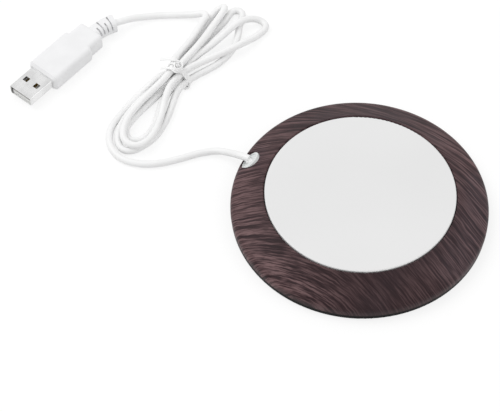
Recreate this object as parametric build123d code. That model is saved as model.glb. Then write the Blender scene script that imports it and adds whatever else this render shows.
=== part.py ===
from build123d import *
import math
import os

# A cup warmer: a low round plinth with a heated plate, fed by a thin white cord that
# is folded into a tied hank and ends in a rectangular power plug.
# Millimetres, +Z up, origin on the table under the middle of the plate.

# ---- overall ----
BEZEL_RADIUS = 52.1           # outside of the domed ring
RING_WIDTH = 13.35            # ring's visible width, from the plate's opening to its outside
LIP_GAP = 0.35                # dark gap between the plate and the bezel
PLATE_TOP_Z = 13.5            # height of the cup surface above the table
PLATE_RADIUS = BEZEL_RADIUS - RING_WIDTH - LIP_GAP

# ---- plate and heater stack, from the top down ----
PLATE_THICKNESS = 1.5
PLATE_EDGE_ROUNDING = 0.45
GASKET_THICKNESS = 0.6
GASKET_WIDTH = 2.8
FILM_THICKNESS = 0.25
FILM_RIM = 4.9                # film edge to plate edge
TRACK_THICKNESS = 0.15
TRACK_WIDTH = 2.2
TRACK_RINGS = 7
TRACK_FIRST_RADIUS = 5.5
TRACK_TO_BOSS = 0.8           # last ring of the track to the holes for the plate's bosses
TRACK_HALF_GAP = 2.0          # half the break in each ring, where the track turns back
PAD_RIM_GAP = 0.35            # insulation pad to the ledge around it
PRESSURE_PLATE_THICKNESS = 1.0
PRESSURE_PLATE_OVERLAP = 1.8  # how far it reaches under the ledge
CLAMP_SETBACK = 8.9           # the three bosses under the plate stand this far in from its edge
CLAMP_COUNT = 3
CLAMP_FIRST_ANGLE = 60.0      # from the cord's direction
CLAMP_BOSS_RADIUS = 2.6
CLAMP_SCREW_RADIUS = 1.2
CLAMP_SCREW_HEAD_RADIUS = 2.6
CLAMP_SCREW_HEAD_HEIGHT = 1.5
CLAMP_SCREW_ENGAGEMENT = 2.6  # how far the screw goes up past the pressure plate
PIN_RADIUS = 0.8              # terminal pins, from the track down through the pressure plate
PIN_DROP = 1.9                # how far a pin stands out below the pressure plate

# ---- bezel: the domed ring with the wood finish ----
BEZEL_WALL = 2.0
BEZEL_SHOULDER_Z = 6.6        # where dome and side would meet without the rounding
BEZEL_SHOULDER_ROUNDING = 3.5
LIP_ROUNDING = 0.5
LEDGE_WIDTH = 3.2
LEDGE_THICKNESS = 1.6
SHADOW_GAP = 0.3              # between the bezel's foot and the base cover

# ---- base cover ----
FOOT_PROUD = 0.4              # the rubber feet lift the base by this much
BASE_FLOOR = 2.0
BASE_INSET = 0.2              # base edge to bezel side
BASE_EDGE_ROUNDING = 0.3
SPIGOT_WALL = 1.6
SPIGOT_HEIGHT = 2.8
SPIGOT_GAP = 0.15             # spigot to the inside of the bezel's side
BOSS_SETBACK = 8.2            # case bosses to the bezel's outside
BOSS_COUNT = 4
BOSS_FIRST_ANGLE = 45.0       # from the cord's direction
BASE_BOSS_RADIUS = 4.0
BASE_BOSS_HEIGHT = 3.0
BEZEL_BOSS_RADIUS = 3.0
SCREW_RADIUS = 1.05
SCREW_HOLE_GAP = 0.3
PILOT_GAP = 0.05
SCREW_LENGTH = 5.6
SCREW_HEAD_RADIUS = 2.3
SCREW_HEAD_HEIGHT = 1.5
SCREW_HEAD_GAP = 0.4
SCREW_SEAT = 2.4              # depth of the counterbore under the base
CROSS_SLOT = 0.55
RIB_COUNT = 8
RIB_WIDTH = 1.2
RIB_HEIGHT = 2.4
RIB_INNER_RADIUS = 15.0
RIB_TO_CLAMP = 5.2            # ribs end this far short of the cord clamp
LABEL_RECESS_RADIUS = 17.0    # bare recess in the middle of the underside
LABEL_RECESS_DEPTH = 0.3
FOOT_SETBACK = 10.6           # feet to the bezel's outside
FOOT_COUNT = 4
FOOT_RADIUS = 4.5
FOOT_RECESS = 1.0
FOOT_RECESS_GAP = 0.15
FOOT_SEAT_WALL = 1.2
FOOT_EDGE_ROUNDING = 0.3

# ---- thermal cut-out under the pressure plate ----
CUTOUT_LENGTH = 14.0
CUTOUT_WIDTH = 6.4
CUTOUT_HEIGHT = 3.2
CUTOUT_EDGE_CHAMFER = 0.4
CUTOUT_NEAR_END = 8.5         # its inner end, measured along the cord's direction
CUTOUT_LEAD_WIDTH = 1.8
CUTOUT_LEAD_THICKNESS = 0.5
CUTOUT_OUTER_LEAD = 3.0
CLIP_THICKNESS = 0.5
CLIP_WIDTH = 5.0
CLIP_FLANGE = 3.2

# ---- cord and its entry ----
CORD_RADIUS = 1.5
CORD_BORE_GAP = 0.05
EXIT_AZIMUTH = 155.6          # direction in which the cord leaves, degrees from +X
EXIT_Z = 7.0
SHEATH_TAIL = 1.7             # length of sheath inside the clamp
CORD_SPLIT_SETBACK = 2.4      # where the free cord starts, inside the grommet, to the bezel's outside
GROMMET_RADIUS = 4.5
GROMMET_SETBACK = 3.4         # middle of the grommet's face to the bezel's outside
GROMMET_CENTRE_Z = 7.8
GROMMET_ELEVATION = 41.0      # the grommet's face looks up by this much
GROMMET_DEPTH = 2.2
GROMMET_RIM = 1.0
GROMMET_RECESS = 0.35
GROMMET_EDGE_ROUNDING = 0.3
GROMMET_HOLE_GAP = 0.05
GROMMET_HOLE_REACH = 4.0      # its seat in the bezel is cut this far past the grommet's face
GROMMET_SLEEVE_RADIUS = 2.0
SLEEVE_TO_CLAMP = 2.6
CLAMP_BAR_SETBACK = 13.9      # inner side of the clamp bar to the bezel's outside
CLAMP_BAR_WIDTH = 3.0
CLAMP_BAR_LENGTH = 16.0
CLAMP_BAR_THICKNESS = 1.2
CLAMP_BAR_WALL = 1.1          # over the cord
CLAMP_BAR_PARTING = 0.1       # the bar's underside above the cord's middle, and the saddle's top below it
BAR_SCREW_OFFSET = 5.6
BAR_SCREW_RADIUS = 0.9
BAR_SCREW_HEAD_RADIUS = 1.8
BAR_SCREW_HEAD_HEIGHT = 1.2
BAR_SCREW_LENGTH = 4.6
WIRE_RADIUS = 0.6
WIRE_OFFSET = 0.75

# Free cord from the grommet to the hank, then from the hank to the plug: points of the route.
TAIL_POINTS = [
    (-52.0, 26.4, 4.6),
    (-57.6, 29.6, 2.1),
    (-64.9, 28.8, 1.5),
    (-73.8, 25.4, 1.5),
    (-82.6, 22.9, 1.5),
    (-90.9, 23.0, 1.5),
    (-97.3, 25.9, 1.5),
    (-100.9, 30.2, 1.5),
]
TAIL_STRAIGHT = 2.8           # straight run out of the grommet before the first bend
LEAD_POINTS = [
    (-65.0, 104.8, 1.5),
    (-76.0, 105.0, 1.5),
    (-87.0, 104.2, 1.6),
]
LEAD_LAST_RUN = 7.0           # straight out of the plug's strain relief
ARC_SHARE = 0.45              # share of the shorter run that each corner's arc takes

# ---- hank: outer shape of the folded cord ----
HANK_HEIGHT = 5.8
HANK_ROUNDING = 1.4
WAIST_CENTRE = (-73.6, 68.8)
WAIST_RADIUS = 5.6
WAIST_HEIGHT = 8.8
WAIST_LENGTH = 12.0
WAIST_ROUNDING = 2.8
WAIST_AZIMUTH = 54.3          # direction of the bundle through the tie
LOWER_LOBE = [((-91.2, 41.6), 13.2), ((-101.3, 31.2), 2.9), (WAIST_CENTRE, WAIST_RADIUS)]
UPPER_LOBE = [((-63.0, 103.4), 4.3), ((-57.2, 106.6), 3.0), ((-47.9, 105.6), 3.0), ((-43.2, 96.8), 6.0),
              ((-57.6, 84.6), 6.6), (WAIST_CENTRE, WAIST_RADIUS)]
NOTCH_HALF_WIDTH = 3.2        # room beside the cord where it runs up to the hank
NOTCH_LENGTH = 6.0

# ---- twist tie ----
TIE_WIDTH = 3.0
TIE_THICKNESS = 0.5
TIE_KNOT_RADIUS = 1.3
TIE_KNOT_LENGTH = 3.6
TIE_KNOT_AZIMUTH = 168.0
TIE_TAIL_LENGTH = 6.0
TIE_TAIL_WIDTH = 2.4
TIE_TAIL_SPREAD = 14.0        # each tail turns off the knot by this much, degrees

# ---- plug ----
PLUG_ROOT = (-132.3, 67.5)    # middle of the shell where it enters the overmould
PLUG_AZIMUTH = 50.2           # direction from the mouth to the cord
PLUG_WIDTH = 15.8
PLUG_HEIGHT = 8.0
PLUG_BODY_LENGTH = 23.2
PLUG_BODY_ROUNDING = 1.9
PLUG_BODY_CORNER = 1.2
PLUG_FRONT_CHAMFER = 1.1       # round the overmould's front, beside the shell
SHOULDER_END = 31.2
SHOULDER_WIDTH = 12.9
SHOULDER_SHIFT = 0.15         # shoulder's middle, to the side that the cord bends to
RELIEF_SHIFT = 0.5            # relief's root, to the same side
RELIEF_LENGTH = 11.3
RELIEF_START_WIDTH = 7.0
RELIEF_START_HEIGHT = 6.2
RELIEF_END_WIDTH = 7.6
RELIEF_END_HEIGHT = 6.6
RELIEF_ROUNDING = 2.6
RELIEF_SWING = 26.0           # the relief is bent sideways by this much, degrees
RELIEF_SLOTS = (2.0, 4.1, 6.3, 8.7)   # distances from the shoulder
RELIEF_SLOT_WIDTH = 0.7
RELIEF_SLOT_DEPTH = 1.3
RELIEF_SLOT_INNER_END = 0.4   # a slot stops this far short of the middle, on the side it doesn't cover
RELIEF_BORE_DEPTH = 1.6
SHELL_WIDTH = 12.0
SHELL_HEIGHT = 4.5
SHELL_WALL = 0.32
SHELL_EXPOSED = 13.3
SHELL_BURIED = 4.0
SHELL_ROUNDING = 0.6
WINDOW_SIZE = 2.4
WINDOW_SETBACK = 6.9          # middle of a window from the mouth
WINDOW_OFFSET = 2.95
TONGUE_THICKNESS = 1.85
TONGUE_SETBACK = 0.6
TONGUE_SIDE_GAP = 0.05
CONTACT_OFFSETS = (-3.5, -1.0, 1.0, 3.5)
CONTACT_WIDTH = 1.0
CONTACT_THICKNESS = 0.12
CONTACT_SETBACK = 1.7
CONTACT_LENGTH = 7.6

# ---- levels and radii that follow ----
plate_bottom_z = PLATE_TOP_Z - PLATE_THICKNESS
ledge_top_z = plate_bottom_z - GASKET_THICKNESS
ledge_bottom_z = ledge_top_z - LEDGE_THICKNESS
film_bottom_z = plate_bottom_z - FILM_THICKNESS
track_bottom_z = film_bottom_z - TRACK_THICKNESS
pressure_top_z = ledge_bottom_z
pressure_bottom_z = pressure_top_z - PRESSURE_PLATE_THICKNESS
lip_radius = PLATE_RADIUS + LIP_GAP
ledge_radius = lip_radius - LEDGE_WIDTH
pad_radius = ledge_radius - PAD_RIM_GAP
pressure_radius = ledge_radius + PRESSURE_PLATE_OVERLAP
base_floor_z = FOOT_PROUD + BASE_FLOOR
bezel_foot_z = base_floor_z + SHADOW_GAP
bezel_side_radius = BEZEL_RADIUS - BEZEL_WALL
spigot_radius = bezel_side_radius - SPIGOT_GAP
film_radius = PLATE_RADIUS - FILM_RIM
clamp_circle = PLATE_RADIUS - CLAMP_SETBACK
track_last_radius = clamp_circle - CLAMP_BOSS_RADIUS - SCREW_HOLE_GAP - TRACK_TO_BOSS - TRACK_WIDTH / 2
track_pitch = (track_last_radius - TRACK_FIRST_RADIUS) / (TRACK_RINGS - 1)
boss_circle = BEZEL_RADIUS - BOSS_SETBACK
foot_circle = BEZEL_RADIUS - FOOT_SETBACK
clamp_bar_start = BEZEL_RADIUS - CLAMP_BAR_SETBACK
clamp_bar_end = clamp_bar_start + CLAMP_BAR_WIDTH
rib_outer_radius = clamp_bar_start - RIB_TO_CLAMP
sheath_end_radius = clamp_bar_start - SHEATH_TAIL
grommet_centre_radius = BEZEL_RADIUS - GROMMET_SETBACK
cord_split_radius = BEZEL_RADIUS - CORD_SPLIT_SETBACK
sleeve_start = clamp_bar_end + SLEEVE_TO_CLAMP
boss_split_z = base_floor_z + BASE_BOSS_HEIGHT
foot_top_z = FOOT_PROUD + FOOT_RECESS
dome_angle = math.atan2(PLATE_TOP_Z - BEZEL_SHOULDER_Z, BEZEL_RADIUS - lip_radius)
plug_axis_z = PLUG_HEIGHT / 2

exit_frame = Location((0, 0, 0), (0, 0, EXIT_AZIMUTH))
plug_frame = Location((PLUG_ROOT[0], PLUG_ROOT[1], plug_axis_z), (0, 0, PLUG_AZIMUTH))


def dome_z(radius, depth=0.0):
    """Height of the dome's straight slope at a radius, that far below the outer surface."""
    drop = (radius - lip_radius) * math.tan(dome_angle)
    return PLATE_TOP_Z - drop - depth / math.cos(dome_angle)


def dome_radius(z, depth=0.0):
    """Radius at which the slope, that far below the outer surface, stands at a height."""
    return lip_radius + (PLATE_TOP_Z - depth / math.cos(dome_angle) - z) / math.tan(dome_angle)


def disc(radius, low, high):
    """Upright cylinder about the middle of the object."""
    return Pos(0, 0, (low + high) / 2) * Cylinder(radius, high - low)


def tube_ring(outer, inner, low, high):
    """Flat ring about the middle of the object."""
    return disc(outer, low, high) - disc(inner, low - 1, high + 1)


def around(radius, count, first_angle):
    """Places on a circle, counted from the cord's direction."""
    step = 360 / count
    places = []
    for index in range(count):
        turn = EXIT_AZIMUTH + first_angle + index * step
        places.append(Location((0, 0, 0), (0, 0, turn)) * Location((radius, 0, 0)))
    return places


def upright(radius, low, high):
    """Cylinder on the Z axis between two heights."""
    return Pos(0, 0, (low + high) / 2) * Cylinder(radius, high - low)


def block(size_x, size_y, low, high):
    """Box on the Z axis between two heights."""
    return Pos(0, 0, (low + high) / 2) * Box(size_x, size_y, high - low)


def revolved(points):
    """Solid of revolution about Z from corners given as radius and height."""
    wire = Polyline([(radius, 0, z) for radius, z in points], close=True)
    return revolve(make_face(wire), Axis.Z)


def circle_edges_at(solid, radius, z):
    """Circular edges about Z of a radius at a height."""
    found = []
    for edge in solid.edges().filter_by(GeomType.CIRCLE):
        centre = edge.arc_center
        if math.hypot(centre.X, centre.Y) < 0.01 and abs(edge.radius - radius) < 0.01:
            if abs(edge.center().Z - z) < 0.01 or abs(centre.Z - z) < 0.01:
                found.append(edge)
    return found


def cord_tube(points, radius, label):
    """Round tube along straight runs joined by arcs as large as the runs allow."""
    corners = [Vector(point) for point in points]
    runs = [(after - before).length for before, after in zip(corners, corners[1:])]
    radii = []
    for index in range(1, len(corners) - 1):
        turn = math.radians((corners[index] - corners[index - 1]).get_angle(corners[index + 1] - corners[index]))
        radii.append(ARC_SHARE * min(runs[index - 1], runs[index]) / math.tan(turn / 2))
    path = FilletPolyline(*corners, radius=radii)
    start = Plane(origin=corners[0], z_dir=corners[1] - corners[0])
    tube = sweep(start * Circle(radius), path=path)
    wanted = math.pi * radius ** 2 * path.length
    print(label, "length", round(path.length, 1), "radii", [round(r, 1) for r in radii],
          "volume", round(tube.volume, 1), "section times length", round(wanted, 1))
    return tube


# ---- heater stack ----
def heating_plate():
    plate = disc(PLATE_RADIUS, plate_bottom_z, PLATE_TOP_Z)
    plate = fillet(circle_edges_at(plate, PLATE_RADIUS, PLATE_TOP_Z), PLATE_EDGE_ROUNDING)
    hole_top = pressure_top_z + CLAMP_SCREW_ENGAGEMENT
    for place in around(clamp_circle, CLAMP_COUNT, CLAMP_FIRST_ANGLE):
        plate += place * upright(CLAMP_BOSS_RADIUS, pressure_top_z, plate_bottom_z)
        plate -= place * upright(CLAMP_SCREW_RADIUS + PILOT_GAP, pressure_top_z, hole_top)
    return plate


def plate_gasket():
    outer = lip_radius - PILOT_GAP
    return tube_ring(outer, outer - GASKET_WIDTH, ledge_top_z, plate_bottom_z)


def boss_clearances(low, high):
    """Round holes for the plate's bosses."""
    holes = Part()
    for place in around(clamp_circle, CLAMP_COUNT, CLAMP_FIRST_ANGLE):
        holes += place * upright(CLAMP_BOSS_RADIUS + SCREW_HOLE_GAP, low, high)
    return holes


def track_radius(ring):
    return TRACK_FIRST_RADIUS + ring * track_pitch


def pin_places():
    """The track's two ends, beside the break in its first and last rings."""
    side = TRACK_HALF_GAP + TRACK_WIDTH / 2
    first = track_radius(0)
    last = track_radius(TRACK_RINGS - 1)
    inner = exit_frame * Location((math.sqrt(first ** 2 - side ** 2), side, 0))
    outer = exit_frame * Location((math.sqrt(last ** 2 - side ** 2), -side, 0))
    return [inner, outer]


def pin_holes(low, high):
    holes = Part()
    for place in pin_places():
        holes += place * upright(PIN_RADIUS + SCREW_HOLE_GAP, low, high)
    return holes


def heater_film():
    film = disc(film_radius, film_bottom_z, plate_bottom_z)
    return film - boss_clearances(film_bottom_z - 1, plate_bottom_z + 1)


def heater_track():
    """One meander of rings that turns back at each break."""
    track = Sketch()
    for ring in range(TRACK_RINGS):
        radius = track_radius(ring)
        track += Circle(radius + TRACK_WIDTH / 2) - Circle(radius - TRACK_WIDTH / 2)
    reach = track_radius(TRACK_RINGS)
    track -= Pos(reach / 2, 0) * Rectangle(reach, 2 * TRACK_HALF_GAP)
    for ring in range(TRACK_RINGS - 1):
        side = -1 if ring % 2 == 0 else 1
        middle = track_radius(ring) + track_pitch / 2
        across = side * (TRACK_HALF_GAP + TRACK_WIDTH / 2)
        track += Pos(middle, across) * Rectangle(track_pitch + TRACK_WIDTH / 2, TRACK_WIDTH)
    return exit_frame * (Pos(0, 0, track_bottom_z) * extrude(track, TRACK_THICKNESS))


def insulation_pad():
    """Mica-faced felt that fills the space between the track and the pressure plate."""
    pad = disc(pad_radius, pressure_top_z, track_bottom_z)
    pad -= boss_clearances(pressure_top_z - 1, track_bottom_z + 1)
    return pad - pin_holes(pressure_top_z - 1, track_bottom_z + 1)


def pressure_plate():
    plate = disc(pressure_radius, pressure_bottom_z, pressure_top_z)
    for place in around(clamp_circle, CLAMP_COUNT, CLAMP_FIRST_ANGLE):
        plate -= place * upright(CLAMP_SCREW_RADIUS + SCREW_HOLE_GAP, pressure_bottom_z - 1, pressure_top_z + 1)
    return plate - pin_holes(pressure_bottom_z - 1, pressure_top_z + 1)


def cross_recess(low, depth, reach):
    """Cross slot that opens downwards at a height."""
    slot = block(2 * reach, CROSS_SLOT, low, low + depth)
    return slot + block(CROSS_SLOT, 2 * reach, low, low + depth)


def pan_screw(head_radius, head_height, shank_radius, seat_z, length):
    """Screw driven from below, with its head's top face at the seat."""
    head = upright(head_radius, seat_z - head_height, seat_z)
    head = fillet(head.edges().filter_by(GeomType.CIRCLE).group_by(Axis.Z)[0], head_height / 3)
    head -= cross_recess(seat_z - head_height, head_height / 2, head_radius * 0.6)
    return head + upright(shank_radius, seat_z, seat_z + length)


def pressure_plate_screws():
    length = PRESSURE_PLATE_THICKNESS + CLAMP_SCREW_ENGAGEMENT - PILOT_GAP
    screw = pan_screw(CLAMP_SCREW_HEAD_RADIUS, CLAMP_SCREW_HEAD_HEIGHT, CLAMP_SCREW_RADIUS, pressure_bottom_z, length)
    return [place * screw for place in around(clamp_circle, CLAMP_COUNT, CLAMP_FIRST_ANGLE)]


def heater_terminals():
    low = pressure_bottom_z - PIN_DROP
    return [place * upright(PIN_RADIUS, low, track_bottom_z) for place in pin_places()]


def thermal_cutout():
    """Bimetal cut-out: a small flat can with a lead at each end, the inner one on its pin."""
    across = TRACK_HALF_GAP + TRACK_WIDTH / 2
    bottom = pressure_bottom_z - CUTOUT_HEIGHT
    middle = pressure_bottom_z - CUTOUT_HEIGHT / 2
    can = Pos(CUTOUT_NEAR_END + CUTOUT_LENGTH / 2, across, 0) * block(
        CUTOUT_LENGTH, CUTOUT_WIDTH, bottom, pressure_bottom_z)
    can = fillet(can.edges().filter_by(Axis.Z), CUTOUT_WIDTH / 4)
    can = chamfer(can.edges().group_by(Axis.Z)[0], CUTOUT_EDGE_CHAMFER)
    pin_face = math.sqrt(track_radius(0) ** 2 - across ** 2) + PIN_RADIUS
    far_end = CUTOUT_NEAR_END + CUTOUT_LENGTH + CUTOUT_OUTER_LEAD
    half = CUTOUT_LEAD_THICKNESS / 2
    lead_length = far_end - pin_face
    lead = Pos(pin_face + lead_length / 2, across, 0) * block(
        lead_length, CUTOUT_LEAD_WIDTH, middle - half, middle + half)
    return exit_frame * (can + lead)


def cutout_clip():
    """Spring strap that holds the cut-out against the pressure plate."""
    across = TRACK_HALF_GAP + TRACK_WIDTH / 2
    inner_half = CUTOUT_WIDTH / 2
    outer_half = inner_half + CLIP_THICKNESS
    reach = outer_half + CLIP_FLANGE
    cutout_bottom = pressure_bottom_z - CUTOUT_HEIGHT
    strap = block(CLIP_WIDTH, 2 * outer_half, cutout_bottom - CLIP_THICKNESS, pressure_bottom_z)
    strap -= block(CLIP_WIDTH + 1, 2 * inner_half, cutout_bottom, pressure_bottom_z)
    flanges = block(CLIP_WIDTH, 2 * reach, pressure_bottom_z - CLIP_THICKNESS, pressure_bottom_z)
    flanges -= block(CLIP_WIDTH + 1, 2 * inner_half, cutout_bottom, pressure_bottom_z)
    place = Pos(CUTOUT_NEAR_END + CUTOUT_LENGTH / 2, across, 0)
    return exit_frame * (place * (strap + flanges))


# ---- housing ----
def dome_envelope():
    """Everything under the bezel's outer surface, without its roundings."""
    return revolved([(0, bezel_foot_z), (BEZEL_RADIUS, bezel_foot_z), (BEZEL_RADIUS, BEZEL_SHOULDER_Z),
                     (lip_radius, PLATE_TOP_Z), (0, PLATE_TOP_Z)])


def grommet_place():
    """Frame on the grommet's face: Z outwards along its axis, X along the tangent."""
    elevation = math.radians(GROMMET_ELEVATION)
    face = Plane(origin=(grommet_centre_radius, 0, GROMMET_CENTRE_Z), x_dir=(0, 1, 0),
                 z_dir=(math.cos(elevation), 0, math.sin(elevation)))
    return exit_frame * face.location


def along_cord(radius, start, end):
    """Cylinder on the cord's axis between two distances from the middle."""
    middle = exit_frame * Location(((start + end) / 2, 0, EXIT_Z), (0, 90, 0))
    return middle * Cylinder(radius, end - start)


def grommet_hole():
    """Seat for the bush, and a passage through the wall for its sleeve."""
    seat = grommet_place() * upright(GROMMET_RADIUS + GROMMET_HOLE_GAP, -GROMMET_DEPTH, GROMMET_HOLE_REACH)
    return seat + along_cord(GROMMET_SLEEVE_RADIUS + GROMMET_HOLE_GAP, sleeve_start - 1, grommet_centre_radius)


def bezel_ring():
    ring = revolved([
        (lip_radius, ledge_top_z),
        (ledge_radius, ledge_top_z),
        (ledge_radius, ledge_bottom_z),
        (dome_radius(ledge_bottom_z, BEZEL_WALL), ledge_bottom_z),
        (bezel_side_radius, dome_z(bezel_side_radius, BEZEL_WALL)),
        (bezel_side_radius, bezel_foot_z),
        (BEZEL_RADIUS, bezel_foot_z),
        (BEZEL_RADIUS, BEZEL_SHOULDER_Z),
        (lip_radius, PLATE_TOP_Z),
    ])
    ring = fillet(circle_edges_at(ring, BEZEL_RADIUS, BEZEL_SHOULDER_Z), BEZEL_SHOULDER_ROUNDING)
    ring = fillet(circle_edges_at(ring, lip_radius, PLATE_TOP_Z), LIP_ROUNDING)
    inside = dome_envelope() - disc(ledge_radius, 0, PLATE_TOP_Z + 1)
    pilot_top = dome_z(boss_circle, BEZEL_WALL) + BEZEL_WALL / 4
    for place in around(boss_circle, BOSS_COUNT, BOSS_FIRST_ANGLE):
        boss = place * upright(BEZEL_BOSS_RADIUS, boss_split_z, dome_z(boss_circle, BEZEL_WALL / 2))
        ring += boss & inside
        ring -= place * upright(SCREW_RADIUS + PILOT_GAP, boss_split_z - 1, pilot_top)
    return ring - grommet_hole()


def spigot():
    outer = spigot_radius
    ring = tube_ring(outer, outer - SPIGOT_WALL, base_floor_z, base_floor_z + SPIGOT_HEIGHT)
    notch = 2 * (GROMMET_RADIUS + SCREW_HOLE_GAP)
    gate = exit_frame * (Pos(outer, 0, 0) * block(4 * SPIGOT_WALL, notch, base_floor_z, 2 * boss_split_z))
    return ring - gate


def saddle():
    """Block under the cord that the clamp bar is screwed to."""
    top = EXIT_Z - CLAMP_BAR_PARTING
    middle = clamp_bar_start + CLAMP_BAR_WIDTH / 2
    body = exit_frame * (Pos(middle, 0, 0) * block(CLAMP_BAR_WIDTH, CLAMP_BAR_LENGTH, base_floor_z, top))
    body -= along_cord(CORD_RADIUS, clamp_bar_start - 1, clamp_bar_end + 1)
    low = EXIT_Z + CLAMP_BAR_PARTING + CLAMP_BAR_THICKNESS - BAR_SCREW_LENGTH - PILOT_GAP
    for side in (-1, 1):
        place = exit_frame * Location((middle, side * BAR_SCREW_OFFSET, 0))
        body -= place * upright(BAR_SCREW_RADIUS + PILOT_GAP, low, top + 1)
    return body


def base_cover():
    rim_radius = BEZEL_RADIUS - BASE_INSET
    tray = disc(rim_radius, FOOT_PROUD, base_floor_z)
    tray = fillet(circle_edges_at(tray, rim_radius, FOOT_PROUD), BASE_EDGE_ROUNDING)
    tray += spigot()
    tray += tube_ring(RIB_INNER_RADIUS, RIB_INNER_RADIUS - RIB_WIDTH, base_floor_z, base_floor_z + RIB_HEIGHT)
    rib_length = rib_outer_radius - RIB_INNER_RADIUS + RIB_WIDTH / 2
    for place in around(RIB_INNER_RADIUS + rib_length / 2 - RIB_WIDTH / 2, RIB_COUNT, 180 / RIB_COUNT):
        tray += place * block(rib_length, RIB_WIDTH, base_floor_z, base_floor_z + RIB_HEIGHT)
    for place in around(foot_circle, FOOT_COUNT, 0):
        tray += place * upright(FOOT_RADIUS + FOOT_SEAT_WALL, base_floor_z, foot_top_z + FOOT_SEAT_WALL)
    for place in around(boss_circle, BOSS_COUNT, BOSS_FIRST_ANGLE):
        boss = place * upright(BASE_BOSS_RADIUS, base_floor_z, boss_split_z)
        tray += boss & disc(spigot_radius, base_floor_z, boss_split_z)
    tray += saddle()
    for place in around(foot_circle, FOOT_COUNT, 0):
        tray -= place * upright(FOOT_RADIUS + FOOT_RECESS_GAP, 0, foot_top_z)
    for place in around(boss_circle, BOSS_COUNT, BOSS_FIRST_ANGLE):
        tray -= place * upright(SCREW_HEAD_RADIUS + SCREW_HEAD_GAP, 0, FOOT_PROUD + SCREW_SEAT)
        tray -= place * upright(SCREW_RADIUS + SCREW_HOLE_GAP, 0, boss_split_z + 1)
    return tray - disc(LABEL_RECESS_RADIUS, 0, FOOT_PROUD + LABEL_RECESS_DEPTH)


def base_screws():
    seat = FOOT_PROUD + SCREW_SEAT
    screw = pan_screw(SCREW_HEAD_RADIUS, SCREW_HEAD_HEIGHT, SCREW_RADIUS, seat, SCREW_LENGTH)
    return [place * screw for place in around(boss_circle, BOSS_COUNT, BOSS_FIRST_ANGLE)]


def rubber_feet():
    pad = upright(FOOT_RADIUS, 0, foot_top_z)
    pad = fillet(pad.edges().filter_by(GeomType.CIRCLE).group_by(Axis.Z)[0], FOOT_EDGE_ROUNDING)
    return [place * pad for place in around(foot_circle, FOOT_COUNT, 0)]


# ---- cord entry ----
def cord_grommet():
    """Round bush in the bezel's shoulder, with a sleeve along the cord inside."""
    bush = upright(GROMMET_RADIUS, -GROMMET_DEPTH, 0)
    bush = fillet(bush.edges().filter_by(GeomType.CIRCLE).group_by(Axis.Z)[-1], GROMMET_EDGE_ROUNDING)
    bush -= upright(GROMMET_RADIUS - GROMMET_RIM, -GROMMET_RECESS, 1)
    bush = grommet_place() * bush
    behind_face = grommet_place() * upright(BEZEL_RADIUS, -BEZEL_RADIUS, -GROMMET_RECESS)
    bush += along_cord(GROMMET_SLEEVE_RADIUS, sleeve_start, BEZEL_RADIUS) & behind_face
    return bush - along_cord(CORD_RADIUS + CORD_BORE_GAP, sleeve_start - 1, BEZEL_RADIUS + 5)


def cord_clamp():
    low = EXIT_Z + CLAMP_BAR_PARTING
    middle = clamp_bar_start + CLAMP_BAR_WIDTH / 2
    end = clamp_bar_end
    bar = exit_frame * (Pos(middle, 0, 0) * block(CLAMP_BAR_WIDTH, CLAMP_BAR_LENGTH, low, low + CLAMP_BAR_THICKNESS))
    hump = along_cord(CORD_RADIUS + CLAMP_BAR_WALL, clamp_bar_start, end)
    bar += hump & (exit_frame * (Pos(middle, 0, 0) * block(CLAMP_BAR_WIDTH, CLAMP_BAR_LENGTH, low, 2 * low)))
    bar -= along_cord(CORD_RADIUS, clamp_bar_start - 1, end + 1)
    for side in (-1, 1):
        place = exit_frame * Location((middle, side * BAR_SCREW_OFFSET, 0))
        bar -= place * upright(BAR_SCREW_RADIUS + SCREW_HOLE_GAP, low - 1, low + 2 * CLAMP_BAR_THICKNESS)
    return bar


def cord_clamp_screws():
    seat = EXIT_Z + CLAMP_BAR_PARTING + CLAMP_BAR_THICKNESS
    middle = clamp_bar_start + CLAMP_BAR_WIDTH / 2
    screw = upright(BAR_SCREW_HEAD_RADIUS, seat, seat + BAR_SCREW_HEAD_HEIGHT)
    screw = fillet(screw.edges().filter_by(GeomType.CIRCLE).group_by(Axis.Z)[-1], BAR_SCREW_HEAD_HEIGHT / 3)
    screw += upright(BAR_SCREW_RADIUS, seat - BAR_SCREW_LENGTH, seat)
    return [exit_frame * Location((middle, side * BAR_SCREW_OFFSET, 0)) * screw for side in (-1, 1)]


def cord_inner():
    """The cord's last stretch inside, through the clamp and into the grommet."""
    return along_cord(CORD_RADIUS, sheath_end_radius, cord_split_radius)


def in_exit_frame(x, y, z):
    place = exit_frame * Location((x, y, z))
    return tuple(place.position)


def lead_wire_red():
    """From the sheath's end to the cut-out's outer lead."""
    across = TRACK_HALF_GAP + TRACK_WIDTH / 2
    end_x = CUTOUT_NEAR_END + CUTOUT_LENGTH + CUTOUT_OUTER_LEAD
    end_z = pressure_bottom_z - CUTOUT_HEIGHT / 2
    return cord_tube([
        in_exit_frame(sheath_end_radius, WIRE_OFFSET, EXIT_Z),
        in_exit_frame(sheath_end_radius - 3.0, WIRE_OFFSET, EXIT_Z),
        in_exit_frame(end_x + 3.0, across, end_z),
        in_exit_frame(end_x, across, end_z),
    ], WIRE_RADIUS, "lead_wire_red")


def lead_wire_black():
    """From the sheath's end to the outer terminal pin."""
    side = TRACK_HALF_GAP + TRACK_WIDTH / 2
    pin_x = math.sqrt(track_radius(TRACK_RINGS - 1) ** 2 - side ** 2) + PIN_RADIUS
    pin_z = pressure_bottom_z - PIN_DROP + WIRE_RADIUS
    return cord_tube([
        in_exit_frame(sheath_end_radius, -WIRE_OFFSET, EXIT_Z),
        in_exit_frame(sheath_end_radius - 3.0, -WIRE_OFFSET, EXIT_Z),
        in_exit_frame(pin_x + 3.0, -side, pin_z),
        in_exit_frame(pin_x, -side, pin_z),
    ], WIRE_RADIUS, "lead_wire_black")


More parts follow.
